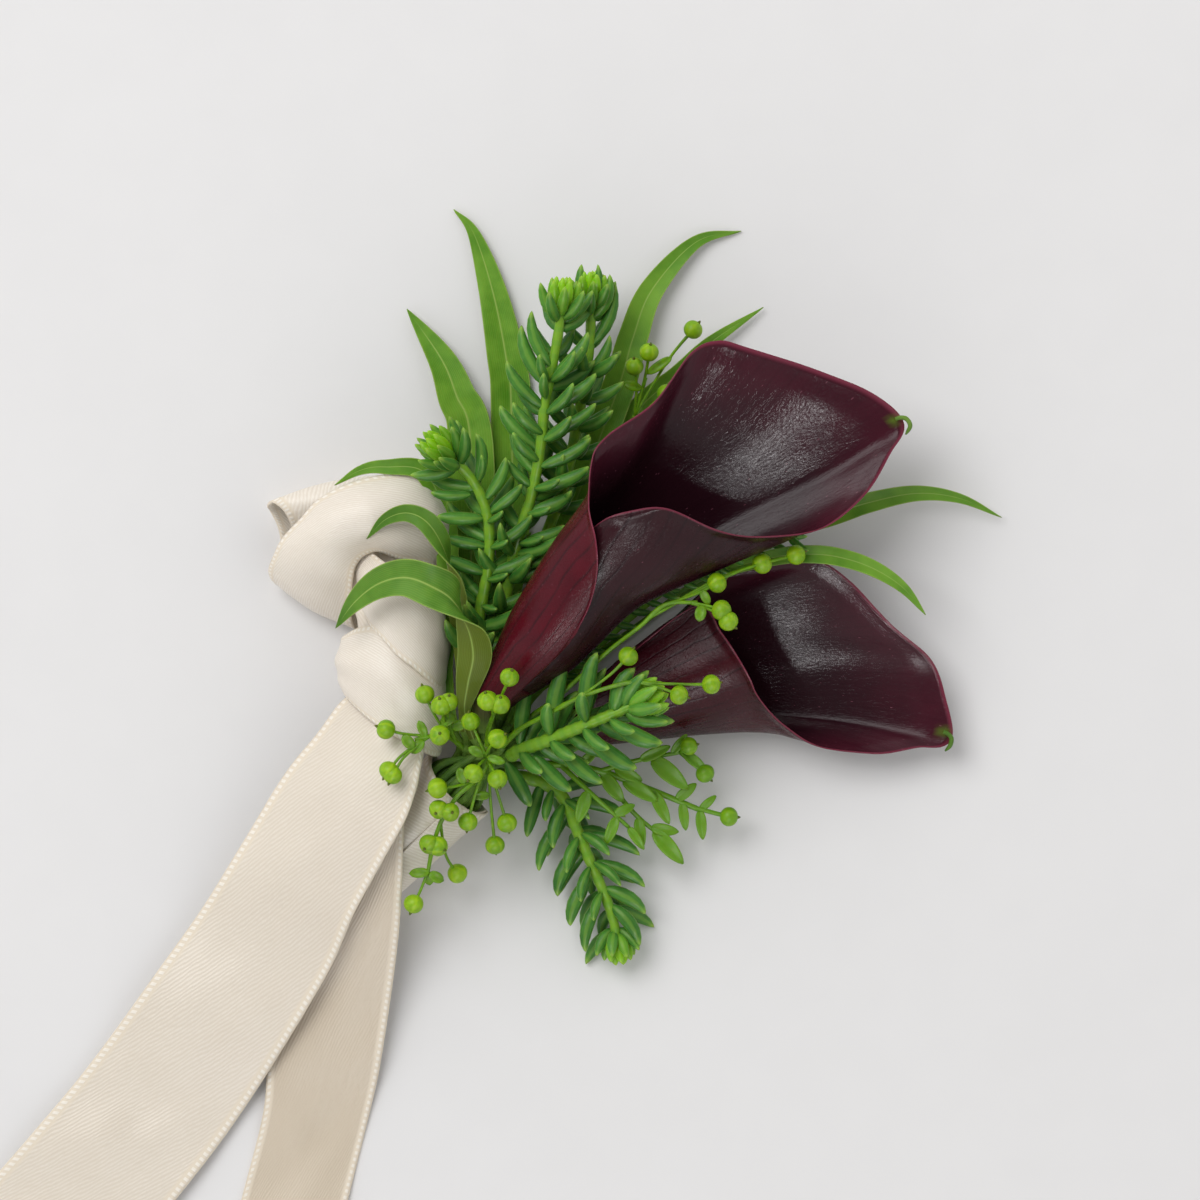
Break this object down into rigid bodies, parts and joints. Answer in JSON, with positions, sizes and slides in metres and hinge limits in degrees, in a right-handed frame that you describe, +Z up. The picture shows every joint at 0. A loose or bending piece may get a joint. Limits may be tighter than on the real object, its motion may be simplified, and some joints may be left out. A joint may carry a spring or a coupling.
{
  "type": "calla lily corsage",
  "caption": "Cluster of dark calla lilies, fleshy sprigs, narrow leaves and lime berries, bound at the stems by a satin ribbon tied with a loop and trailing tails.",
  "frame": {"origin": "on the table, on the flat underside of the ribbon wound round the stems", "axes": "+Z up, away from the table; the blooms point towards +X and the long upright leaves towards +Y; the ribbon's tails run towards -X and -Y"},
  "size_m": [0.1827, 0.1857, 0.0368],
  "materials": {
    "ivory_satin": "satin ribbon",
    "dark_spathe": "waxy wine-dark petal, glossy where it bends",
    "dark_spadix": "matte, fine-grained",
    "green_stem": "smooth stem",
    "leaf_green": "soft sheen with fine long veins",
    "sedum_green": "glossy fleshy leaf",
    "berry_lime": "waxy berry skin",
    "lime_leaf": "soft young leaf"
  },
  "bodies": {
    "root": {"ribbon_collar": "ivory_satin", "ribbon_tie": "ivory_satin", "stem_bundle": "green_stem", "calla_upper_spathe": "dark_spathe", "calla_upper_spadix": "dark_spadix", "calla_upper_stem": "green_stem", "calla_lower_spathe": "dark_spathe", "calla_lower_spadix": "dark_spadix", "calla_lower_stem": "green_stem", "lime_sprig": "lime_leaf", "leaf_up_left": "leaf_green", "leaf_up_middle": "leaf_green", "leaf_up_right": "leaf_green", "leaf_up_far": "leaf_green", "leaf_left_short": "leaf_green", "leaf_curled_small": "leaf_green", "leaf_curled_large": "leaf_green", "leaf_right_upper": "leaf_green", "leaf_right_lower": "leaf_green", "sedum_left": "sedum_green", "sedum_middle": "sedum_green", "sedum_back": "sedum_green", "sedum_front": "sedum_green", "sedum_bottom": "sedum_green", "sedum_between": "sedum_green", "berries_left": "berry_lime", "berries_lower": "berry_lime", "berries_hub": "berry_lime", "berries_top": "berry_lime", "berries_front": "berry_lime", "berries_right": "berry_lime", "berries_back": "berry_lime"}
  },
  "joints": []
}
